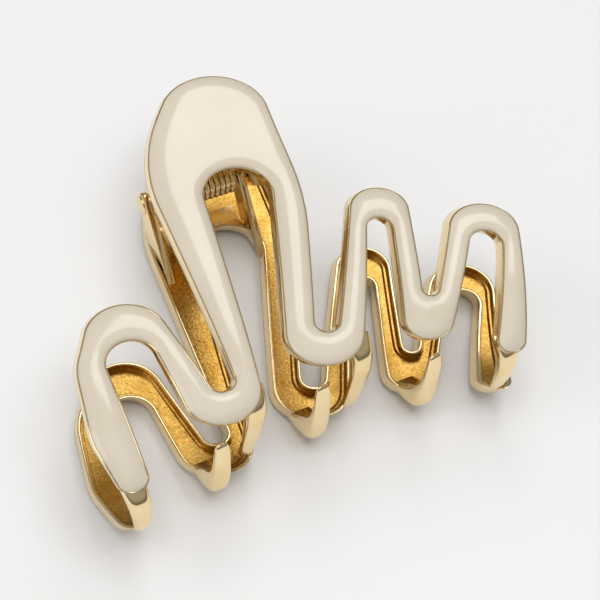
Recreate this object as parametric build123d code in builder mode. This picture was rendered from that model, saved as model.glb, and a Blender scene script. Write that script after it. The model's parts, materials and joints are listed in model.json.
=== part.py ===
from build123d import *
import os
from math import atan2, cos, degrees, hypot, radians, sin, sqrt

# Claw hair clip: two wave shaped cast jaws with cream enamel inlays, a hinge pin and a torsion spring.
# The clip lies on its back jaw. X runs along the hinge pin, +Y towards the finger pads, +Z up, through the
# front jaw. The origin is the middle of the clip's outline, on the surface that it lies on.
# All sizes are millimetres.

# Overall sizes
clip_length = 85.0  # along the hinge pin, over the two end legs
clip_height = 78.5  # from the end teeth to the top of the finger pad
belly_depth = 11.5  # from the middle plane to the jaw's outer face, at its belly

# Jaw casting
wall_depth = 3.0  # from the outer face to the inner rim
floor_thickness = 1.5  # metal left behind the outer face
rim_width = 0.7  # of the thin wall around the hollow inside
step_width = 0.5  # of the step that follows the hollow's sides
step_height = 0.5
draft_x = 0.05  # sideways run of the side walls for each millimetre from the outer face to the inner rim
front_lean = 0.71  # the same on the front jaw, towards the finger pad
back_lean = -0.5  # the same on the back jaw, whose walls lean towards the teeth

# Enamel inlay
enamel_border = 0.35  # thin metal edge around the enamel
enamel_pocket = 0.5  # depth of the enamel's recess
enamel_crown = 0.4  # height of the enamel above its metal edge
crown_step = 0.9  # from the enamel's edge to the top of its crown

# Hinge
hinge_drop = 16.4  # from the top of the finger pad down to the hinge axis
pin_diameter = 1.8
pin_clearance = 0.08  # radial, where the front jaw turns on the pin
lug_radius = 2.3
lug_thickness = 1.4
lug_gap = 0.3  # between neighbouring lugs
lug_foot_near = 13.0  # from the hinge axis to the foot's near and far end, along the jaw
lug_foot_far = 5.0
lug_sink = 0.4  # how far a lug's foot runs into the jaw's floor
pin_head_radius = 1.9
pin_head_thickness = 0.5
peened_radius = 1.5
pin_play = 0.2  # between the last lug and the peened end

# Torsion spring
wire_diameter = 0.95
coil_radius = 2.3  # to the middle of the wire
coil_pitch = 1.05
coil_gap = 0.2  # between the coil and the back jaw's right lug
coil_inset = 1.8  # between the coil and the front jaw's left lug
seat_width = 8.0  # of the flat land behind the coil, along the jaw
seat_drop = 0.4  # of the land below the rim
leg_angle = 35.0  # between a leg and the middle plane
leg_gap = 0.15  # between a leg's end and the finger pad's inner face

# Teeth
tooth_thickness = 2.2
tooth_tip_thickness = 1.1
tooth_width = 4.2
tooth_tip_width = 2.6
front_tooth_root = 2.2  # how far a tooth runs into the jaw's end
back_tooth_root = 4.7
tooth_gap = 0.5  # between a tooth's tip and the other jaw
tooth_shoulder = 0.84  # depth of the tooth's outer face at its shoulder, as a share of its root's depth
tooth_waist = 0.3  # the same, where the tooth has turned inwards
tooth_waist_inside = 0.2  # the same, on its inner face

cut_margin = 1.0  # how far a cut reaches past the metal

CLOCKWISE = -1
ANTICLOCKWISE = 1

# The outline and the places on it are drawn at these overall sizes, and stretched to the ones above
drawn_length = 85.0
drawn_height = 78.5
wide = clip_length / drawn_length
high = clip_height / drawn_height
round_scale = min(wide, high)  # of the bends' radii, so that every straight run stays possible

# The jaw's outline as bends (x, y, radius, turn), joined by straight runs. It goes round clockwise: the left
# end, the edge that faces the pad, the right end, and the edge that faces the teeth.
bends = [
    (-39.0, -39.2, 2.7, CLOCKWISE),
    (-28.8, -30.6, 13.9, CLOCKWISE),
    (-29.1, -20.6, 11.9, CLOCKWISE),
    (-30.3, -13.5, 7.1, CLOCKWISE),
    (-19.2, -27.4, 2.1, ANTICLOCKWISE),
    (20.5, 8.3, 35.0, CLOCKWISE),
    (3.8, 27.1, 10.2, CLOCKWISE),
    (-47.4, 19.6, 60.0, CLOCKWISE),
    (1.8, -23.3, 2.1, ANTICLOCKWISE),
    (21.3, -4.9, 5.3, CLOCKWISE),
    (21.3, -24.0, 1.4, ANTICLOCKWISE),
    (36.2, -16.3, 6.3, CLOCKWISE),
    (30.2, -39.5, 2.7, CLOCKWISE),
    (35.0, -19.1, 2.9, ANTICLOCKWISE),
    (18.3, -29.6, 4.5, CLOCKWISE),
    (19.4, -8.6, 2.2, ANTICLOCKWISE),
    (0.5, -25.3, 6.8, CLOCKWISE),
    (-0.1, 8.1, 6.1, ANTICLOCKWISE),
    (-20.0, -29.4, 6.6, CLOCKWISE),
    (-31.2, -18.4, 4.3, ANTICLOCKWISE),
]
pad_bend = 6
left_lug_x = -13.4 * wide  # outer face of the back jaw's left lug
right_lug_x = 5.2 * wide  # inner face of the back jaw's right lug
hinge_y = bends[pad_bend][1] * high + bends[pad_bend][2] * round_scale - hinge_drop

# Side profile of the jaw's outer face, as (y, depth from the middle plane)
side_profile = [
    (-47.4, belly_depth - 8.9),
    (-35.4, belly_depth - 2.7),
    (-27.4, belly_depth - 0.7),
    (-15.4, belly_depth),
    (1.6, belly_depth - 0.4),
    (16.6, belly_depth - 0.8),
    (28.6, belly_depth - 0.5),
    (44.6, belly_depth + 0.15),
]
outline_depth = belly_depth - 0.5  # depth at which the outline above is taken
half_depth = belly_depth + enamel_crown  # from the middle plane to the surface that the clip lies on

# Teeth, as (x of the root, x of the tip, y of the outer face)
front_teeth = [(-39.0, -38.4, -41.2), (-14.8, -16.8, -33.7), (5.8, 4.2, -31.5), (29.8, 28.8, -39.8)]
back_teeth = [(-23.2, -22.6, -36.8), (-3.4, -2.8, -33.6), (16.5, 17.9, -35.2)]

middle_plane = Plane.XY.offset(half_depth)

# Wider and taller than any section of the clip
span = clip_length + 2 * (abs(draft_x) * half_depth + cut_margin)


def face_depth(y):
    """The depth of the jaw's outer face from the middle plane, between the side profile's points."""
    for (y1, depth1), (y2, depth2) in zip(side_profile, side_profile[1:]):
        if y1 * high <= y <= y2 * high:
            return depth1 + (depth2 - depth1) * (y / high - y1) / (y2 - y1)
    raise ValueError("the side profile doesn't reach y = " + str(y))


def rim_drop(y):
    """How far the inner rim is below the depth at which the outline is taken, at an outline place."""
    drop = wall_depth
    for _ in range(8):
        drop = outline_depth + wall_depth - face_depth(y + front_lean * drop)
    return drop


def outline_bends(inset, lean):
    """The outline's bends at the overall sizes, with the outline moved inwards by inset.

    The inner rims of the two jaws face each other, so a jaw's lean moves its outer face.
    """
    loop = []
    for x, y, radius, turn in bends:
        shift = (front_lean - lean) * rim_drop(y * high)
        loop.append((x * wide, y * high + shift, radius * round_scale + turn * inset, turn))
    return loop


def straight_run(first, second):
    """The start and end of the straight run between two bends."""
    x1, y1, r1, turn1 = first
    x2, y2, r2, turn2 = second
    distance = hypot(x2 - x1, y2 - y1)
    along = Vector(x2 - x1, y2 - y1) / distance
    lean = (turn2 * r2 - turn1 * r1) / distance
    normal = along * lean + Vector(-along.Y, along.X) * sqrt(1 - lean**2)
    return Vector(x1, y1) - normal * (turn1 * r1), Vector(x2, y2) - normal * (turn2 * r2)


def bend_middle(bend, start, end):
    """The middle point of a bend's arc."""
    x, y, radius, turn = bend
    first = degrees(atan2(start.Y - y, start.X - x))
    last = degrees(atan2(end.Y - y, end.X - x))
    angle = radians(first + turn * ((last - first) * turn % 360) / 2)
    return Vector(x + radius * cos(angle), y + radius * sin(angle))


def wave_face(inset, lean):
    """The flat wave outline, at the depth where it is taken."""
    loop = outline_bends(inset, lean)
    runs = [straight_run(loop[i - 1], loop[i]) for i in range(len(loop))]
    with BuildSketch(middle_plane.offset(outline_depth)) as wave:
        with BuildLine():
            for i, bend in enumerate(loop):
                start = runs[i][1]
                end = runs[(i + 1) % len(loop)][0]
                Line(runs[i][0], start)
                ThreePointArc(start, bend_middle(bend, start, end), end)
        make_face()
    return wave.sketch


def wave_band(inset, upper, lower, lean):
    """The wave between two depths below a jaw's outer face, with its side walls at their draft.

    Both jaws are made on the front side. The back jaw is mirrored when it is complete.
    """
    with BuildPart() as band:
        slope = Vector(draft_x, lean, -1)
        extrude(wave_face(inset, lean), amount=half_depth * slope.length, dir=slope, both=True)
        with BuildSketch(Plane.YZ.offset(-span / 2)):
            with BuildLine():
                outer = Spline([(y * high, half_depth + depth - upper) for y, depth in side_profile])
                inner = Spline([(y * high, half_depth + depth - lower) for y, depth in side_profile])
                Line(outer @ 0, inner @ 0)
                Line(outer @ 1, inner @ 1)
            make_face()
        extrude(amount=span, mode=Mode.INTERSECT)
    return band.part


def tooth(root_x, tip_x, face_y, root):
    """A tooth, which runs into the jaw's end by root, bends inwards and tapers to a round tip."""
    root_x *= wide
    tip_x *= wide
    face_y *= high
    root_y = face_y + tooth_thickness + root
    root_depth = face_depth(root_y) - enamel_pocket
    tip_depth = face_depth(face_y + tooth_thickness) - wall_depth - tooth_gap
    with BuildPart() as prong:
        with BuildSketch(Plane.YZ.offset(-span / 2)):
            with BuildLine():
                face = Spline(
                    (root_y, half_depth + root_depth),
                    (face_y + tooth_thickness / 2, half_depth + root_depth * tooth_shoulder),
                    (face_y, half_depth + root_depth * tooth_waist),
                    (face_y + tooth_tip_thickness, half_depth - tip_depth),
                )
                back = Spline(
                    (face_y + 2 * tooth_tip_thickness, half_depth - tip_depth),
                    (face_y + tooth_thickness, half_depth + root_depth * tooth_waist_inside),
                    (root_y, half_depth + root_depth - wall_depth + enamel_pocket),
                )
                Line(face @ 1, back @ 0)
                Line(back @ 1, face @ 0)
            make_face()
        extrude(amount=span)
        tip_radius = tooth_tip_width / 2
        with BuildSketch(Plane.XZ.offset(-span / 2)):
            with BuildLine():
                top = half_depth + root_depth + cut_margin
                bottom = half_depth - tip_depth + tip_radius
                left = Line((root_x - tooth_width / 2, top), (tip_x - tip_radius, bottom))
                tip = ThreePointArc(left @ 1, (tip_x, bottom - tip_radius), (tip_x + tip_radius, bottom))
                right = Line(tip @ 1, (root_x + tooth_width / 2, top))
                Line(right @ 1, left @ 0)
            make_face()
        extrude(amount=span, mode=Mode.INTERSECT)
    return prong.part


def lug(inner_x, bore, depth_sign):
    """A lug that rises from the jaw to the hinge pin. depth_sign is 1 on the front jaw, -1 on the back."""
    foot = half_depth + depth_sign * (outline_depth - floor_thickness + lug_sink)
    with BuildPart() as ear:
        with BuildSketch(Plane.YZ.offset(inner_x)):
            with BuildLine():
                CenterArc((hinge_y, half_depth), lug_radius, 0, 360)
                Line((hinge_y - lug_foot_near, foot), (hinge_y - lug_foot_far, foot))
            make_hull()
            with Locations((hinge_y, half_depth)):
                Circle(bore / 2, mode=Mode.SUBTRACT)
        extrude(amount=lug_thickness)
    return ear.part


# The first lug's place on the front jaw is one pitch to the right of the back jaw's
lug_pitch = lug_thickness + lug_gap
coil_start = left_lug_x + 2 * lug_pitch
coil_end = right_lug_x - lug_gap


def recess(lean):
    """The enamel's recess, which reaches past the outer face."""
    return wave_band(enamel_border, -cut_margin, enamel_pocket, lean)


def shell(lean):
    """The jaw's wave with its hollow inside, stepped along its sides, and the land behind the spring."""
    with BuildPart() as seat:
        with BuildSketch(middle_plane):
            with Locations(((coil_start + coil_end) / 2, hinge_y - seat_width / 2)):
                Rectangle(coil_end - coil_start, seat_width)
        extrude(amount=half_depth)
        land = wave_band(rim_width / 2, floor_thickness / 2, wall_depth - seat_drop, lean)
        add(land, mode=Mode.INTERSECT)
    with BuildPart() as casting:
        add(wave_band(0, 0, wall_depth, lean))
        hollow_top = wall_depth + cut_margin
        add(wave_band(rim_width, floor_thickness + step_height, hollow_top, lean), mode=Mode.SUBTRACT)
        add(wave_band(rim_width + step_width, floor_thickness, wall_depth, lean), mode=Mode.SUBTRACT)
        add(seat.part)
    return casting.part


def inlay(lean):
    """The enamel in its recess, with a crown that stands above the metal edge."""
    with BuildPart() as glaze:
        add(wave_band(enamel_border, -enamel_crown / 2, enamel_pocket, lean))
        add(wave_band(enamel_border + crown_step, -enamel_crown, 0, lean))
    return glaze.part


with BuildPart() as front_jaw:
    add(shell(front_lean))
    for place in front_teeth:
        add(tooth(*place, front_tooth_root))
    add(recess(front_lean), mode=Mode.SUBTRACT)
    for x in (left_lug_x, right_lug_x):
        add(lug(x + lug_pitch, pin_diameter + 2 * pin_clearance, 1))
front_jaw.part.label = "front_jaw"

with BuildPart() as back_jaw:
    add(shell(back_lean))
    for place in back_teeth:
        add(tooth(*place, back_tooth_root))
    add(recess(back_lean), mode=Mode.SUBTRACT)
    mirror(about=middle_plane, mode=Mode.REPLACE)
    for x in (left_lug_x, right_lug_x):
        add(lug(x, pin_diameter, -1))
back_jaw.part.label = "back_jaw"

with BuildPart() as front_enamel:
    add(inlay(front_lean))
front_enamel.part.label = "front_enamel"

with BuildPart() as back_enamel:
    add(inlay(back_lean))
    mirror(about=middle_plane, mode=Mode.REPLACE)
back_enamel.part.label = "back_enamel"

# Hinge pin: a low head on the left, a peened end on the right
pin_length = right_lug_x + lug_pitch + lug_thickness + pin_play - left_lug_x
with BuildPart() as hinge_pin:
    with BuildSketch(Plane.YZ.offset(left_lug_x)):
        with Locations((hinge_y, half_depth)):
            Circle(pin_diameter / 2)
    extrude(amount=pin_length)
    left_end = (left_lug_x - pin_head_thickness, pin_head_radius)
    right_end = (left_lug_x + pin_length, peened_radius)
    for x, radius in (left_end, right_end):
        with BuildSketch(Plane.YZ.offset(x)):
            with Locations((hinge_y, half_depth)):
                Circle(radius)
        extrude(amount=pin_head_thickness)
hinge_pin.part.label = "hinge_pin"

# Torsion spring: a close coil around the pin, with a leg under each finger pad
wire_radius = wire_diameter / 2
rise = sin(radians(leg_angle))
run = cos(radians(leg_angle))
leg_depth = face_depth(hinge_y) - floor_thickness - leg_gap - wire_radius * run
with BuildPart() as torsion_spring:
    first_turn = coil_start + coil_inset + wire_radius
    last_turn = coil_end - coil_gap - wire_radius
    with BuildLine() as coil:
        Helix(
            coil_pitch,
            last_turn - first_turn,
            coil_radius,
            center=(first_turn, hinge_y, half_depth),
            direction=(1, 0, 0),
        )
    with BuildSketch(Plane(origin=coil.line @ 0, z_dir=coil.line % 0)):
        Circle(wire_radius)
    sweep()
    for x, side in ((first_turn + coil_pitch / 4, -1), (last_turn - coil_pitch / 4, 1)):
        foot = Vector(x, hinge_y - coil_radius * rise, half_depth + side * coil_radius * run)
        with BuildSketch(Plane(origin=foot, z_dir=(0, run, side * rise))):
            Circle(wire_radius)
        extrude(amount=(leg_depth - coil_radius * run) / rise)
torsion_spring.part.label = "torsion_spring"

os.makedirs("parts", exist_ok=True)
for piece in (front_jaw, back_jaw, front_enamel, back_enamel, hinge_pin, torsion_spring):
    export_step(piece.part, "parts/" + piece.part.label + ".step")
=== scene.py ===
import json
from math import atan2, ceil, cos, hypot, pi, radians, sin, sqrt

import bmesh
import bpy
import numpy as np
from mathutils import Matrix, Vector
from mathutils.geometry import delaunay_2d_cdt


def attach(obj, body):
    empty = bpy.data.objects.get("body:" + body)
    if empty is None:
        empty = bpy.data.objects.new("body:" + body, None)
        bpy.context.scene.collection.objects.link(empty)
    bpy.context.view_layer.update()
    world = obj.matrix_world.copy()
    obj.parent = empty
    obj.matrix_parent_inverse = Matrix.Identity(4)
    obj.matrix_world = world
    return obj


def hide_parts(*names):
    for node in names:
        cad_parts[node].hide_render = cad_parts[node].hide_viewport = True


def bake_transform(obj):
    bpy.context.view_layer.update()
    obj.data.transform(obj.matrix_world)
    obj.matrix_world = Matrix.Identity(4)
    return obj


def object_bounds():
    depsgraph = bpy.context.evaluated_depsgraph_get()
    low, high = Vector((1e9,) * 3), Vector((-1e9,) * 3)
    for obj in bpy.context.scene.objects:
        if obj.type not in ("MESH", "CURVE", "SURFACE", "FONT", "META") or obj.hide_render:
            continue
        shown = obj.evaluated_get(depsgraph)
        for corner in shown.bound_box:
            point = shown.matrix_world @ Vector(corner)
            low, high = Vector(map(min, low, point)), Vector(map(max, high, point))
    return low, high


# Claw hair clip: the looks of its two cast jaws, their enamel, the hinge pin and the torsion spring.
# Sizes below are millimetres, as in the CAD part, and MM turns them into metres when a mesh is written.

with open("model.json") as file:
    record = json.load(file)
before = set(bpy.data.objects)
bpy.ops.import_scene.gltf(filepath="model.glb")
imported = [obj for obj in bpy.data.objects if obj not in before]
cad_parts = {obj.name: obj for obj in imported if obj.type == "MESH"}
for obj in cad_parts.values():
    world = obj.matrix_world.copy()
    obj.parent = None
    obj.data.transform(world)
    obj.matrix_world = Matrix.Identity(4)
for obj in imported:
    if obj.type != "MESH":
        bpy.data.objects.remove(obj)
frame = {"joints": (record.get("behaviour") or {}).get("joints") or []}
cad_low, cad_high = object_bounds()
MM = 0.001
floor_gap = 0.0002

joint = frame["joints"][0]
hinge_y = joint["pos_m"][1] / MM
half_depth = joint["pos_m"][2] / MM

# Jaw casting
belly_depth = 11.5
outline_depth = belly_depth - 0.5
wall_depth = 3.0
floor_thickness = 1.5
step_height = 0.5
rim_width = 0.7
step_width = 0.5
draft_x = 0.05
front_lean = 0.71
back_lean = -0.5
edge_round = 0.22  # rounding of the casting's edges

# Enamel
enamel_border = 0.35
enamel_pocket = 0.5
dome_height = 0.95  # of a very wide stretch
dome_reach = 1.25  # over which the dome falls to its edge
dome_edge = 0.04  # of the enamel's edge below the outer face
enamel_play = 0.03  # between the enamel's underside and its pocket

# Hinge and spring
pin_radius = 0.9
pin_play = 0.2  # between the last lug and the peened end
lug_radius = 2.3
lug_thickness = 1.4
lug_gap = 0.3
lug_foot_near = 13.0
lug_foot_far = 5.0
lug_sink = 0.4
left_lug_x = -13.4
right_lug_x = 5.2
lug_pitch = lug_thickness + lug_gap
wire_diameter = 0.95
coil_radius = 2.3
coil_pitch = 1.05
coil_gap = 0.2
coil_inset = 1.8
seat_width = 8.0
seat_drop = 0.4
leg_angle = radians(35.0)
leg_gap = 0.15

# Teeth
tooth_thickness = 2.2
tooth_tip_thickness = 1.1
tooth_width = 4.2
tooth_tip_width = 2.6
front_tooth_root = 2.2
back_tooth_root = 4.7
tooth_gap = 0.5
tooth_shoulder = 0.84
tooth_waist = 0.3
tooth_waist_inside = 0.2
tooth_tip_share = 0.14  # of its length over which a tooth closes
tooth_tip_power = 2.4
tooth_tip_flat = 0.35  # share of its thickness that a tooth keeps at its tip
tooth_corner_power = 2 / 3.2  # of the rounded rectangle across a tooth
tooth_crown = 0.12  # fall of a tooth's outer face towards its sides
front_teeth = [(-39.0, -38.4, -41.2), (-14.8, -16.8, -33.7), (5.8, 4.2, -31.5), (29.8, 28.8, -39.8)]
back_teeth = [(-23.2, -22.6, -36.8), (-3.4, -2.8, -33.6), (16.5, 17.9, -35.2)]

# The wave outline as bends (x, y, radius, turn), clockwise, joined by straight runs
CLOCKWISE = -1
ANTICLOCKWISE = 1
bends = [
    (-39.0, -39.2, 2.7, CLOCKWISE),
    (-28.8, -30.6, 13.9, CLOCKWISE),
    (-29.1, -20.6, 11.9, CLOCKWISE),
    (-30.3, -13.5, 7.1, CLOCKWISE),
    (-19.2, -27.4, 2.1, ANTICLOCKWISE),
    (20.5, 8.3, 35.0, CLOCKWISE),
    (3.8, 27.1, 10.2, CLOCKWISE),
    (-47.4, 19.6, 60.0, CLOCKWISE),
    (1.8, -23.3, 2.1, ANTICLOCKWISE),
    (21.3, -4.9, 5.3, CLOCKWISE),
    (21.3, -24.0, 1.4, ANTICLOCKWISE),
    (36.2, -16.3, 6.3, CLOCKWISE),
    (30.2, -39.5, 2.7, CLOCKWISE),
    (35.0, -19.1, 2.9, ANTICLOCKWISE),
    (18.3, -29.6, 4.5, CLOCKWISE),
    (19.4, -8.6, 2.2, ANTICLOCKWISE),
    (0.5, -25.3, 6.8, CLOCKWISE),
    (-0.1, 8.1, 6.1, ANTICLOCKWISE),
    (-20.0, -29.4, 6.6, CLOCKWISE),
    (-31.2, -18.4, 4.3, ANTICLOCKWISE),
]

# Side profile of the outer face, as y and depth from the middle plane
profile_y = np.array([-47.4, -35.4, -27.4, -15.4, 1.6, 16.6, 28.6, 44.6])
profile_depth = np.array([2.6, 8.8, 10.8, 11.5, 11.1, 10.7, 11.0, 11.65])

# Spacing of the meshes' points
outline_spacing = 0.4
grid_spacing = 0.55
enamel_clearance = 0.3  # between the enamel's last ring and its grid
smallest_arc_steps = 6
lathe_steps = 64
lug_steps = 48
tooth_rings = 40
tooth_sides = 32
wire_sides = 16
leg_steps = 14
steps_in_a_turn = 28


# ---------------------------------------------------------------- curves and the wave

def natural_spline(knots, values):
    """A function that runs smoothly through the values at the knots."""
    gap = np.diff(knots)
    count = len(knots)
    matrix = np.eye(count)
    right = np.zeros(count)
    for i in range(1, count - 1):
        matrix[i, i - 1 : i + 2] = gap[i - 1], 2 * (gap[i - 1] + gap[i]), gap[i]
        right[i] = 6 * ((values[i + 1] - values[i]) / gap[i] - (values[i] - values[i - 1]) / gap[i - 1])
    bend = np.linalg.solve(matrix, right)

    def at(x):
        x = np.clip(x, knots[0], knots[-1])
        i = np.clip(np.searchsorted(knots, x) - 1, 0, count - 2)
        a = (knots[i + 1] - x) / gap[i]
        b = 1 - a
        curl = ((a**3 - a) * bend[i] + (b**3 - b) * bend[i + 1]) * gap[i] ** 2 / 6
        return a * values[i] + b * values[i + 1] + curl

    return at


outer_depth = natural_spline(profile_y, profile_depth)


def path_through(points, count):
    """A smooth line of count points through a few (y, depth) points."""
    points = np.array(points, float)
    steps = np.hypot(*np.diff(points, axis=0).T)
    knots = np.concatenate([[0.0], np.cumsum(steps)])
    at = np.linspace(0, knots[-1], count)
    return np.stack([natural_spline(knots, points[:, k])(at) for k in (0, 1)], axis=1)


def straight_run(first, second):
    """The start and end of the straight run between two bends, and its inward normal."""
    x1, y1, r1, turn1 = first
    x2, y2, r2, turn2 = second
    distance = hypot(x2 - x1, y2 - y1)
    along = np.array([x2 - x1, y2 - y1]) / distance
    lean = (turn2 * r2 - turn1 * r1) / distance
    normal = along * lean + np.array([-along[1], along[0]]) * sqrt(1 - lean**2)
    start = np.array([x1, y1]) - normal * (turn1 * r1)
    end = np.array([x2, y2]) - normal * (turn2 * r2)
    return start, end, -normal


def rim_drop(y):
    """How far the inner rim is below the depth at which the outline is taken, at an outline place."""
    drop = wall_depth
    for _ in range(8):
        drop = outline_depth + wall_depth - np.interp(y + front_lean * drop, profile_y, profile_depth)
    return drop


def sample_outline(lean):
    """Points round the wave outline, clockwise, and the inward normal at each."""
    count = len(bends)
    loop = [(x, y + (front_lean - lean) * rim_drop(y), radius, turn) for x, y, radius, turn in bends]
    runs = [straight_run(loop[i - 1], loop[i]) for i in range(count)]
    points = []
    normals = []
    for i, (x, y, radius, turn) in enumerate(loop):
        start, end, inward = runs[i]
        steps = max(1, ceil(np.linalg.norm(end - start) / outline_spacing))
        for k in range(1, steps):
            points.append(start + (end - start) * k / steps)
            normals.append(inward)
        leave = runs[(i + 1) % count][0]
        first = atan2(end[1] - y, end[0] - x)
        swing = turn * (((atan2(leave[1] - y, leave[0] - x) - first) * turn) % (2 * pi))
        steps = max(smallest_arc_steps, ceil(abs(swing) * radius / outline_spacing))
        for k in range(steps + 1):
            out = np.array([cos(first + swing * k / steps), sin(first + swing * k / steps)])
            points.append(np.array([x, y]) + out * radius)
            normals.append(out * turn)
    return np.array(points), np.array(normals)


class Wave:
    """One jaw's wave: its outline, and points at any depth below its outer face."""

    def __init__(self, lean, back):
        self.lean = lean
        self.back = back
        self.outline, self.inward = sample_outline(lean)
        self.count = len(self.outline)

    def loop(self, inset):
        return self.outline + self.inward * inset

    def lift(self, places, depth):
        """Points on the front side, moved along the draft from outline places to a depth below the face."""
        slide = np.zeros(len(places))
        for _ in range(16):
            slide = outline_depth - outer_depth(places[:, 1] + self.lean * slide) + depth
        x = places[:, 0] + draft_x * slide
        y = places[:, 1] + self.lean * slide
        return np.stack([x, y, half_depth + outline_depth - slide], axis=1)


front_wave = Wave(front_lean, False)
back_wave = Wave(back_lean, True)


def inside_and_far(places, loop, clearance):
    """Which places lie inside a loop and at least clearance from it."""
    after = np.roll(loop, -1, axis=0)
    keep = np.zeros(len(places), bool)
    for low in range(0, len(places), 2000):
        part = places[low : low + 2000, None, :]
        crosses = (loop[:, 1] > part[..., 1]) != (after[:, 1] > part[..., 1])
        climb = np.where(after[:, 1] == loop[:, 1], 1e-9, after[:, 1] - loop[:, 1])
        slope = (after[:, 0] - loop[:, 0]) / climb
        at = loop[:, 0] + (part[..., 1] - loop[:, 1]) * slope
        inside = (crosses & (part[..., 0] < at)).sum(axis=1) % 2 == 1
        away = ((part - loop) ** 2).sum(axis=2).min(axis=1) > clearance**2
        keep[low : low + 2000] = inside & away
    return places[keep]


def fill(loops, spacing, clearance):
    """Places and triangles over the first loop, through the other loops and a grid inside the last."""
    low, high = loops[-1].min(axis=0), loops[-1].max(axis=0)
    rows = np.arange(low[1], high[1], spacing * sqrt(3) / 2)
    grid = []
    for k, y in enumerate(rows):
        row = np.arange(low[0] + (k % 2) * spacing / 2, high[0], spacing)
        grid.append(np.c_[row, np.full(len(row), y)])
    grid = inside_and_far(np.concatenate(grid), loops[-1], clearance)
    places = np.concatenate([*loops, grid])
    count = len(loops[0])
    edges = []
    for k in range(len(loops)):
        edges += [(k * count + i, k * count + (i + 1) % count) for i in range(count)]
    result = delaunay_2d_cdt([Vector(p) for p in places], edges, [list(range(count))], 1, 1e-6)
    origin = [ids[0] if ids else -1 for ids in result[3]]
    if len(result[0]) != len(places) or -1 in origin:
        raise ValueError("the outline's fill changed its points")
    triangles = [[origin[i] for i in face] for face in result[2]]
    return places, turned_up(places, triangles)


def turned_up(places, triangles):
    """The triangles, all turned anticlockwise."""
    a, b, c = (places[np.array(triangles)[:, k]] for k in range(3))
    area = (b[:, 0] - a[:, 0]) * (c[:, 1] - a[:, 1]) - (b[:, 1] - a[:, 1]) * (c[:, 0] - a[:, 0])
    return [t if s > 0 else t[::-1] for t, s in zip(triangles, area)]


def domed(places, triangles, edge_count):
    """The height of a liquid's dome over each place, zero on the first edge_count places."""
    tri = np.array(triangles)
    total = len(places)
    corner = places[tri]
    ends = []
    stiffness = []
    for k in range(3):
        a, b, c = corner[:, k], corner[:, (k + 1) % 3], corner[:, (k + 2) % 3]
        u, v = b - a, c - a
        cross = np.abs(u[:, 0] * v[:, 1] - u[:, 1] * v[:, 0])
        stiffness.append((u * v).sum(axis=1) / np.maximum(cross, 1e-9) / 2)
        ends.append(tri[:, [(k + 1) % 3, (k + 2) % 3]])
    ends = np.concatenate(ends)
    stiffness = np.maximum(np.concatenate(stiffness), 1e-4)
    mass = np.bincount(tri.ravel(), np.repeat(cross / 6, 3), total)
    pull = mass / dome_reach**2
    free = np.ones(total)
    free[:edge_count] = 0

    def apply(h):
        flow = stiffness * (h[ends[:, 0]] - h[ends[:, 1]])
        spread_out = np.bincount(ends[:, 0], flow, total) - np.bincount(ends[:, 1], flow, total)
        return free * (spread_out + pull * h)

    height = np.zeros(total)
    left = free * pull * dome_height
    step = left.copy()
    size = left @ left
    for _ in range(600):
        if size < 1e-14:
            break
        moved = apply(step)
        amount = size / (step @ moved)
        height += amount * step
        left -= amount * moved
        size_now = left @ left
        step = left + step * (size_now / size)
        size = size_now
    return height


# ---------------------------------------------------------------- meshes

def make_piece(name, points, faces, materials, face_materials=None, sharp=35.0):
    """A mesh object from millimetre points."""
    mesh = bpy.data.meshes.new(name)
    mesh.from_pydata([tuple(p) for p in np.asarray(points) * MM], [], faces)
    for material in materials:
        mesh.materials.append(material)
    if face_materials is not None:
        mesh.polygons.foreach_set("material_index", face_materials)
    mesh.validate()
    piece = bpy.data.objects.new(name, mesh)
    bpy.context.scene.collection.objects.link(piece)
    smooth(mesh, sharp)
    return piece


def smooth(mesh, sharp):
    mesh.shade_smooth()
    mesh.set_sharp_from_angle(angle=radians(sharp))


def mirrored(points, faces):
    """The back jaw's half: the same shape, seen in the middle plane."""
    points = np.array(points)
    points[:, 2] = 2 * half_depth - points[:, 2]
    return points, [face[::-1] for face in faces]


def ring_faces(count, first, second):
    """Quads between two loops of count points, given by their first indices."""
    return [
        (first + i, first + (i + 1) % count, second + (i + 1) % count, second + i) for i in range(count)
    ]


def combine(base, tool, operation):
    """Joins tool to base, or keeps what they share, and removes tool."""
    modifier = base.modifiers.new("combine", "BOOLEAN")
    modifier.operation = operation
    modifier.solver = "EXACT"
    modifier.object = tool
    modifier.material_mode = "INDEX"
    depsgraph = bpy.context.evaluated_depsgraph_get()
    result = bpy.data.meshes.new_from_object(base.evaluated_get(depsgraph))
    base.modifiers.clear()
    base.data = result
    bpy.data.objects.remove(tool)
    return base


round_in = edge_round * (1 - sqrt(0.5))
# Round the casting's section, as (inset, depth): the enamel's pocket, the outer edge, the rim and the hollow
jaw_section = [
    (enamel_border + 0.02, enamel_pocket),
    (enamel_border + 0.01, 0.14),
    (enamel_border - 0.04, 0.04),
    (edge_round, 0.0),
    (round_in, round_in),
    (0.0, edge_round),
    (0.0, 1.0),
    (0.0, 1.9),
    (0.0, wall_depth - edge_round),
    (round_in, wall_depth - round_in),
    (edge_round, wall_depth),
    (rim_width - edge_round, wall_depth),
    (rim_width - round_in, wall_depth - round_in),
    (rim_width, wall_depth - edge_round),
    (rim_width + 0.03, floor_thickness + step_height + 0.1),
    (rim_width + 0.1, floor_thickness + step_height),
    (rim_width + step_width - 0.06, floor_thickness + step_height),
    (rim_width + step_width, floor_thickness + step_height - 0.06),
    (rim_width + step_width + 0.03, floor_thickness + 0.15),
    (rim_width + step_width + 0.15, floor_thickness),
]
first_hollow_ring = 13


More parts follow.
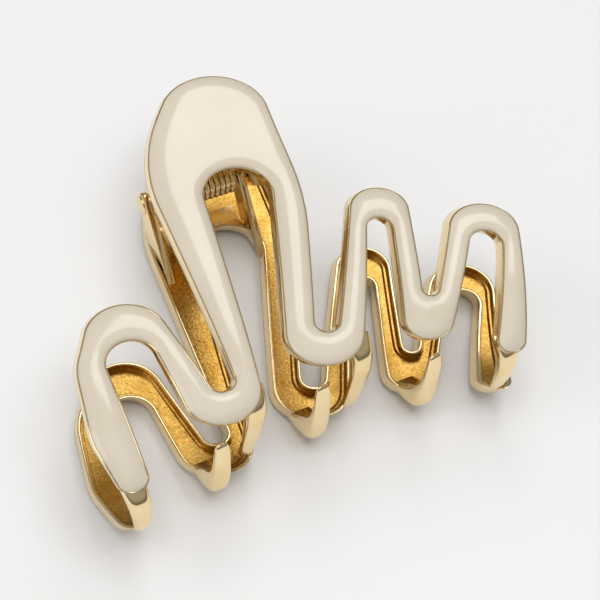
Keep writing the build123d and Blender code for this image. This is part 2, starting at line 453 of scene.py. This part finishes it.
def jaw_shell(name, wave):
    """The wave casting with its rounded edges, its stepped hollow and the enamel's pocket."""
    count = wave.count
    loops = [wave.lift(wave.loop(inset), depth) for inset, depth in jaw_section]
    points = list(np.concatenate(loops))
    faces = []
    kinds = []
    for k in range(len(jaw_section) - 1):
        ring = ring_faces(count, k * count, (k + 1) * count)
        faces += [face[::-1] for face in ring]
        # Faces of the stepped hollow take the second material, whose darker amber colour is painted shade in
        # the hollow.
        kinds += [1 if k >= first_hollow_ring else 0] * count
    # The hollow's floor cap also takes the second material, with its painted shade.
    for k, flip, kind in ((0, False, 0), (len(jaw_section) - 1, True, 1)):
        inset, depth = jaw_section[k]
        places, triangles = fill([wave.loop(inset)], grid_spacing * 1.6, grid_spacing)
        start = len(points) - count
        index = [k * count + i if i < count else start + i for i in range(len(places))]
        points += list(wave.lift(places[count:], depth))
        cap = [[index[i] for i in triangle] for triangle in triangles]
        faces += [face[::-1] for face in cap] if flip else cap
        kinds += [kind] * len(cap)
    if wave.back:
        points, faces = mirrored(points, faces)
    return make_piece(name, points, faces, jaw_materials, kinds)


def slab(name, inset, upper, lower, wave):
    """The wave between two depths, as a plain closed solid."""
    places, triangles = fill([wave.loop(inset)], grid_spacing * 1.6, grid_spacing)
    count = wave.count
    total = len(places)
    points = np.concatenate([wave.lift(places, upper), wave.lift(places, lower)])
    faces = list(triangles) + [[i + total for i in face[::-1]] for face in triangles]
    faces += [face[::-1] for face in ring_faces(count, 0, total)]
    if wave.back:
        points, faces = mirrored(points, faces)
    return make_piece(name, points, faces, jaw_materials)


def block(name, low, high, materials):
    """A plain cutting block."""
    corners = [(x, y, z) for x in (low[0], high[0]) for y in (low[1], high[1]) for z in (low[2], high[2])]
    faces = [(0, 1, 3, 2), (4, 6, 7, 5), (0, 4, 5, 1), (2, 3, 7, 6), (0, 2, 6, 4), (1, 5, 7, 3)]
    return make_piece(name, corners, faces, materials)


def spring_seat(name, wave):
    """The flat land inside the finger pad, behind the coil."""
    left = left_lug_x + 2 * lug_pitch
    right = right_lug_x - lug_gap
    low = 0.0 if wave.back else half_depth
    high = half_depth if wave.back else 2 * half_depth
    piece = slab(name, rim_width / 2, floor_thickness / 2, wall_depth - seat_drop, wave)
    corners = (left, hinge_y - seat_width, low), (right, hinge_y, high)
    cutter = block(name + "_cutter", *corners, jaw_materials)
    return combine(piece, cutter, "INTERSECT")


def tooth(name, place, back):
    """A tooth that leaves the jaw's end, bends inwards and tapers to a round tip."""
    root_x, tip_x, face_y = place
    root_y = face_y + tooth_thickness + (back_tooth_root if back else front_tooth_root)
    root_depth = float(outer_depth(root_y)) - enamel_pocket
    tip_depth = float(outer_depth(face_y + tooth_thickness)) - wall_depth - tooth_gap
    rings = tooth_rings
    sides = tooth_sides
    face = path_through(
        [
            (root_y, root_depth),
            (face_y + tooth_thickness / 2, root_depth * tooth_shoulder),
            (face_y, root_depth * tooth_waist),
            (face_y + tooth_tip_thickness, -tip_depth),
        ],
        rings,
    )
    inner = path_through(
        [
            (root_y, root_depth - wall_depth + enamel_pocket),
            (face_y + tooth_thickness, root_depth * tooth_waist_inside),
            (face_y + 2 * tooth_tip_thickness, -tip_depth),
        ],
        rings,
    )
    middle = (face + inner) / 2
    across = (face - inner) / 2
    points = []
    for k in range(rings - 1):
        share = k / (rings - 1)
        end = max(0.0, (share - 1 + tooth_tip_share) / tooth_tip_share)
        close = sqrt(max(0.0, 1 - min(1.0, end) ** tooth_tip_power))
        x = root_x + (tip_x - root_x) * share
        width = (tooth_width + (tooth_tip_width - tooth_width) * share) / 2
        for i in range(sides):
            angle = 2 * pi * i / sides
            cx = np.sign(cos(angle)) * abs(cos(angle)) ** tooth_corner_power
            cy = np.sign(sin(angle)) * abs(sin(angle)) ** tooth_corner_power
            crown = 1 - tooth_crown * cx**2 if cy > 0 else 1.0
            y, z = middle[k] + across[k] * cy * crown * (tooth_tip_flat + (1 - tooth_tip_flat) * close)
            points.append((x + width * cx * close, y, half_depth + z))
    y, z = middle[-1]
    points.append((tip_x, y, half_depth + z))
    y, z = middle[0]
    points.append((root_x, y, half_depth + z))
    faces = []
    for k in range(rings - 2):
        faces += ring_faces(sides, k * sides, (k + 1) * sides)
    last = (rings - 2) * sides
    pole = len(points) - 2
    faces += [(last + i, last + (i + 1) % sides, pole) for i in range(sides)]
    faces += [((i + 1) % sides, i, pole + 1) for i in range(sides)]
    if back:
        points, faces = mirrored(points, faces)
    return make_piece(name, points, faces, jaw_materials)


def hull(points):
    """The outline round some points, anticlockwise."""
    points = sorted(set(points))

    def half(order):
        chain = []
        for p in order:
            while len(chain) > 1:
                (ax, ay), (bx, by) = chain[-2:]
                if (bx - ax) * (p[1] - ay) - (by - ay) * (p[0] - ax) > 0:
                    break
                chain.pop()
            chain.append(p)
        return chain[:-1]

    return half(points) + half(points[::-1])


def lug(name, inner_x, back):
    """A lug from the jaw's floor to the hinge pin, with its edges rounded."""
    sign = -1 if back else 1
    foot = half_depth + sign * (outline_depth - floor_thickness + lug_sink)
    circle = []
    for k in range(lug_steps):
        angle = 2 * pi * k / lug_steps
        circle.append((hinge_y + lug_radius * cos(angle), half_depth + lug_radius * sin(angle)))
    rim = hull(circle + [(hinge_y - lug_foot_near, foot), (hinge_y - lug_foot_far, foot)])
    count = len(rim)
    centre = np.array(rim).mean(axis=0)
    points = []
    soft = edge_round
    for x, inset in (
        (inner_x, soft),
        (inner_x + soft * 0.3, soft * 0.3),
        (inner_x + soft, 0.0),
        (inner_x + lug_thickness - soft, 0.0),
        (inner_x + lug_thickness - soft * 0.3, soft * 0.3),
        (inner_x + lug_thickness, soft),
    ):
        for y, z in rim:
            out = np.array([y, z]) - centre
            y, z = np.array([y, z]) - out / np.linalg.norm(out) * inset
            points.append((x, y, z))
    faces = []
    for k in range(5):
        faces += ring_faces(count, k * count, (k + 1) * count)
    faces.append(list(range(count))[::-1])
    faces.append(list(range(5 * count, 6 * count)))
    return make_piece(name, points, faces, jaw_materials)


def facing_out(piece):
    """Turns the mesh's faces outwards."""
    bm = bmesh.new()
    bm.from_mesh(piece.data)
    bmesh.ops.remove_doubles(bm, verts=bm.verts, dist=0.5e-6)
    bmesh.ops.recalc_face_normals(bm, faces=bm.faces)
    bm.to_mesh(piece.data)
    bm.free()
    return piece


def jaw(name, teeth, lugs, wave):
    """A whole cast jaw."""
    piece = facing_out(jaw_shell(name, wave))
    additions = [spring_seat(name + "_seat", wave)]
    additions += [tooth(name + "_tooth", place, wave.back) for place in teeth]
    additions += [lug(name + "_lug", x, wave.back) for x in lugs]
    for addition in additions:
        combine(piece, facing_out(addition), "UNION")
    smooth(piece.data, 32.0)
    return piece


def enamel(name, wave):
    """The glossy inlay: a dome that is held up by its edge, on a flat underside."""
    insets = [enamel_border - 0.02, enamel_border + 0.12, enamel_border + 0.3, enamel_border + 0.55]
    loops = [wave.loop(inset) for inset in insets]
    places, triangles = fill(loops, grid_spacing, enamel_clearance)
    count = wave.count
    total = len(places)
    height = domed(places, triangles, count)
    top = wave.lift(places, dome_edge - height)
    bottom = wave.lift(places, enamel_pocket - enamel_play)
    faces = list(triangles) + [[i + total for i in face[::-1]] for face in triangles]
    faces += [face[::-1] for face in ring_faces(count, 0, total)]
    points = np.concatenate([top, bottom])
    if wave.back:
        points, faces = mirrored(points, faces)
    return facing_out(make_piece(name, points, faces, [enamel_material], sharp=40.0))


def lathe(name, profile, materials, turns=lathe_steps):
    """A turned piece on the hinge axis, from (x, radius) points."""
    points = []
    faces = []
    for x, radius in profile:
        for k in range(turns):
            angle = 2 * pi * k / turns
            points.append((x, hinge_y + radius * cos(angle), half_depth + radius * sin(angle)))
    for k in range(len(profile) - 1):
        faces += ring_faces(turns, k * turns, (k + 1) * turns)
    faces.append(list(range(turns)))
    faces.append(list(range((len(profile) - 1) * turns, len(profile) * turns)))
    return facing_out(make_piece(name, points, faces, materials))


def hinge_pin():
    """The pin: a low domed head on the left and a peened end on the right."""
    head = left_lug_x
    end = right_lug_x + lug_pitch + lug_thickness + pin_play
    profile = [
        (head - 0.5, 0.5),
        (head - 0.48, 0.9),
        (head - 0.38, 1.5),
        (head - 0.22, 1.82),
        (head - 0.08, 1.9),
        (head, 1.84),
        (head, pin_radius),
        (end, pin_radius),
        (end, 1.42),
        (end + 0.1, 1.5),
        (end + 0.3, 1.35),
        (end + 0.44, 0.9),
        (end + 0.5, 0.35),
    ]
    return lathe("hinge_pin_turned", profile, [pin_material])


def torsion_spring():
    """A close coil round the pin whose two ends run straight on under the finger pads."""
    wire = wire_diameter / 2
    rise, run = sin(leg_angle), cos(leg_angle)
    first = left_lug_x + 2 * lug_pitch + coil_inset + wire
    last = right_lug_x - lug_gap - coil_gap - wire
    swing_first = pi + (pi / 2 - leg_angle)
    swing_last = pi - (pi / 2 - leg_angle)
    whole = int((last - first) / coil_pitch - (swing_first - swing_last) / (2 * pi))
    swing = whole * 2 * pi + swing_first - swing_last
    leg_depth = float(outer_depth(hinge_y)) - floor_thickness - leg_gap - wire * run
    leg = (leg_depth - coil_radius * run) / rise
    steps = steps_in_a_turn * (whole + 1)
    turn = 2 * pi / coil_pitch
    centre_line = []
    for k in range(leg_steps):
        back = leg * (1 - k / leg_steps)
        foot = np.array([-coil_radius * rise, -coil_radius * run])
        y, z = foot + np.array([run, -rise]) * back
        centre_line.append((first, y, z))
    for k in range(steps + 1):
        angle = swing_first - swing * k / steps
        x = first + swing * k / steps / turn
        centre_line.append((x, coil_radius * cos(angle), coil_radius * sin(angle)))
    end_x = centre_line[-1][0]
    for k in range(1, leg_steps + 1):
        foot = np.array([-coil_radius * rise, coil_radius * run])
        y, z = foot + np.array([run, rise]) * leg * k / leg_steps
        centre_line.append((end_x, y, z))
    line = np.array(centre_line) + np.array([0, hinge_y, half_depth])
    points = []
    sides = wire_sides
    for k, place in enumerate(line):
        ahead = line[min(k + 1, len(line) - 1)] - line[max(k - 1, 0)]
        ahead /= np.linalg.norm(ahead)
        side = np.array([1.0, 0, 0]) - ahead * ahead[0]
        side /= np.linalg.norm(side)
        up = np.cross(ahead, side)
        for i in range(sides):
            angle = 2 * pi * i / sides
            points.append(place + (side * cos(angle) + up * sin(angle)) * wire)
    faces = []
    for k in range(len(line) - 1):
        faces += ring_faces(sides, k * sides, (k + 1) * sides)
    faces.append(list(range(sides)))
    faces.append(list(range((len(line) - 1) * sides, len(line) * sides)))
    piece = facing_out(make_piece("spring_wire", points, faces, [spring_material]))
    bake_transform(piece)
    return piece


# ---------------------------------------------------------------- materials

def principled(name):
    material = bpy.data.materials.new(name)
    material.use_nodes = True
    return material, material.node_tree, material.node_tree.nodes["Principled BSDF"]


def noise(tree, scale, detail=3.0):
    place = tree.nodes.new("ShaderNodeTexCoord")
    texture = tree.nodes.new("ShaderNodeTexNoise")
    texture.inputs["Scale"].default_value = scale
    texture.inputs["Detail"].default_value = detail
    tree.links.new(place.outputs["Object"], texture.inputs["Vector"])
    return texture.outputs["Fac"]


def spread(tree, value, low, high, socket):
    """Sends a noise value to a socket, stretched between low and high."""
    node = tree.nodes.new("ShaderNodeMapRange")
    node.inputs["From Min"].default_value = 0.3
    node.inputs["From Max"].default_value = 0.7
    node.inputs["To Min"].default_value = low
    node.inputs["To Max"].default_value = high
    tree.links.new(value, node.inputs["Value"])
    tree.links.new(node.outputs["Result"], socket)


def tinted(tree, value, first, second, socket):
    """Sends a noise value to a colour socket, between two colours."""
    ramp = tree.nodes.new("ShaderNodeValToRGB")
    ramp.color_ramp.elements[0].position = 0.35
    ramp.color_ramp.elements[0].color = (*first, 1)
    ramp.color_ramp.elements[1].position = 0.65
    ramp.color_ramp.elements[1].color = (*second, 1)
    tree.links.new(value, ramp.inputs["Fac"])
    tree.links.new(ramp.outputs["Color"], socket)


def bumped(tree, value, distance, strength, socket):
    bump = tree.nodes.new("ShaderNodeBump")
    bump.inputs["Distance"].default_value = distance
    bump.inputs["Strength"].default_value = strength
    tree.links.new(value, bump.inputs["Height"])
    tree.links.new(bump.outputs["Normal"], socket)


def metal(name, first, second, rough, grain, depth, strength):
    """Gold plating with uneven polish."""
    material, tree, shader = principled(name)
    shader.inputs["Metallic"].default_value = 1.0
    cloud = noise(tree, 260.0)
    tinted(tree, cloud, first, second, shader.inputs["Base Color"])
    spread(tree, noise(tree, grain * 0.7), rough[0], rough[1], shader.inputs["Roughness"])
    bumped(tree, noise(tree, grain, 4.0), depth, strength, shader.inputs["Normal"])
    return material


def glossy_enamel():
    material, tree, shader = principled("cream_enamel")
    cloud = noise(tree, 60.0)
    tinted(tree, cloud, (0.68, 0.60, 0.475), (0.72, 0.64, 0.515), shader.inputs["Base Color"])
    spread(tree, noise(tree, 900.0), 0.16, 0.22, shader.inputs["Roughness"])
    shader.inputs["IOR"].default_value = 1.52
    shader.inputs["Coat Weight"].default_value = 0.6
    shader.inputs["Coat Roughness"].default_value = 0.03
    bumped(tree, noise(tree, 130.0, 1.0), 0.00006, 0.5, shader.inputs["Normal"])
    return material


# Two colours, the roughness between two values, and the grain's scale, depth and strength
polished_looks = (0.90, 0.70, 0.38), (0.93, 0.76, 0.46), (0.10, 0.17), 1500.0, 0.00002, 0.35
# The hollow's colours are a darker amber than the polished gold. This is painted shade and painted gold
# inter-reflection in the hollow, on a rougher real cast finish.
rough_shaded_looks = (0.52, 0.29, 0.055), (0.66, 0.41, 0.11), (0.22, 0.34), 2200.0, 0.00006, 0.7
pin_looks = (0.86, 0.66, 0.34), (0.90, 0.71, 0.40), (0.12, 0.2), 1800.0, 0.00002, 0.3
wire_looks = (0.84, 0.66, 0.36), (0.90, 0.73, 0.43), (0.14, 0.24), 2600.0, 0.00002, 0.4
polished = metal("polished_gold", *polished_looks)
rough_shaded_cast = metal("cast_gold_painted_shade", *rough_shaded_looks)
pin_material = metal("pin_gold", *pin_looks)
spring_material = metal("wire_gold", *wire_looks)
jaw_materials = [polished, rough_shaded_cast]
enamel_material = glossy_enamel()


# ---------------------------------------------------------------- the clip

def fitted(piece, body, node):
    """Puts a finished piece on its body, in place of its CAD node."""
    if body:
        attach(piece, body)
    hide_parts(node)


front_lugs = [x + lug_pitch for x in (left_lug_x, right_lug_x)]
back_lugs = [left_lug_x, right_lug_x]
fitted(jaw("front_jaw_casting", front_teeth, front_lugs, front_wave), "front", "front_jaw")
fitted(jaw("back_jaw_casting", back_teeth, back_lugs, back_wave), "back", "back_jaw")
fitted(enamel("front_enamel_inlay", front_wave), "front", "front_enamel")
fitted(enamel("back_enamel_inlay", back_wave), "back", "back_enamel")
fitted(hinge_pin(), "back", "hinge_pin")
fitted(torsion_spring(), None, "torsion_spring")


# ---------------------------------------------------------------- floor, light and camera

def plane(name, width, height, material):
    mesh = bpy.data.meshes.new(name)
    w, h = width / 2, height / 2
    mesh.from_pydata([(-w, -h, 0), (w, -h, 0), (w, h, 0), (-w, h, 0)], [], [(0, 1, 2, 3)])
    mesh.materials.append(material)
    piece = bpy.data.objects.new(name, mesh)
    bpy.context.scene.collection.objects.link(piece)
    return piece


def studio_floor():
    material, tree, shader = principled("studio_floor")
    tinted(tree, noise(tree, 3.0), (0.86, 0.86, 0.865), (0.88, 0.88, 0.885), shader.inputs["Base Color"])
    shader.inputs["Roughness"].default_value = 0.8
    shader.inputs["Specular IOR Level"].default_value = 0.1
    floor = plane("floor", 6.0, 6.0, material)
    floor.location.z = cad_low.z - floor_gap


def soft_light(name, aim, azimuth, elevation, distance, width, height, power):
    """A soft light box that faces aim from a direction."""
    a, e = radians(azimuth), radians(elevation)
    out = Vector((sin(a) * cos(e), -cos(a) * cos(e), sin(e)))
    data = bpy.data.lights.new(name, "AREA")
    data.shape = "RECTANGLE"
    data.size = width
    data.size_y = height
    data.energy = power
    light = bpy.data.objects.new(name, data)
    light.location = aim + out * distance
    light.rotation_mode = "QUATERNION"
    light.rotation_quaternion = out.to_track_quat("Z", "Y")
    bpy.context.scene.collection.objects.link(light)
    return light


def world_light():
    world = bpy.data.worlds.new("studio")
    bpy.context.scene.world = world
    world.use_nodes = True
    tree = world.node_tree
    background = tree.nodes["Background"]
    place = tree.nodes.new("ShaderNodeTexCoord")
    split = tree.nodes.new("ShaderNodeSeparateXYZ")
    ramp = tree.nodes.new("ShaderNodeValToRGB")
    ramp.color_ramp.elements[0].position = 0.0
    ramp.color_ramp.elements[0].color = (0.22, 0.20, 0.18, 1)
    ramp.color_ramp.elements[1].position = 0.55
    ramp.color_ramp.elements[1].color = (0.92, 0.91, 0.89, 1)
    tree.links.new(place.outputs["Generated"], split.inputs["Vector"])
    tree.links.new(split.outputs["Z"], ramp.inputs["Fac"])
    tree.links.new(ramp.outputs["Color"], background.inputs["Color"])
    background.inputs["Strength"].default_value = 0.40


def studio_camera(centre):
    """Looks down on the clip from its left and from the teeth's side, a little rolled."""
    azimuth, elevation, roll = radians(-31.05), radians(52.45), radians(6.47)
    distance = 0.2813
    aim = centre + Vector((0.00395, -0.01025, 0.0))
    back = Vector((sin(azimuth) * cos(elevation), -cos(azimuth) * cos(elevation), sin(elevation)))
    level = Vector((cos(azimuth), sin(azimuth), 0))
    upright = back.cross(level)
    right = level * cos(roll) + upright * sin(roll)
    up = upright * cos(roll) - level * sin(roll)
    data = bpy.data.cameras.new("camera")
    data.lens = 95.08
    data.sensor_width = 36.0
    data.clip_start = 0.01
    camera = bpy.data.objects.new("camera", data)
    rotation = Matrix((right, up, back)).transposed().to_4x4()
    camera.matrix_world = Matrix.Translation(aim + back * distance) @ rotation
    bpy.context.scene.collection.objects.link(camera)
    bpy.context.scene.camera = camera


centre = (cad_low + cad_high) / 2
studio_floor()
world_light()
soft_light("window", centre, 149.0, 50.0, 0.9, 0.42, 0.42, 1.3)
soft_light("left_box", centre, -100.0, 35.0, 0.9, 0.5, 0.8, 1.6)
top_box = soft_light("top_box", centre, 20.0, 80.0, 1.0, 0.8, 0.8, 6.0)
top_box.visible_glossy = False
studio_camera(centre)
bpy.context.scene.view_settings.view_transform = "Standard"
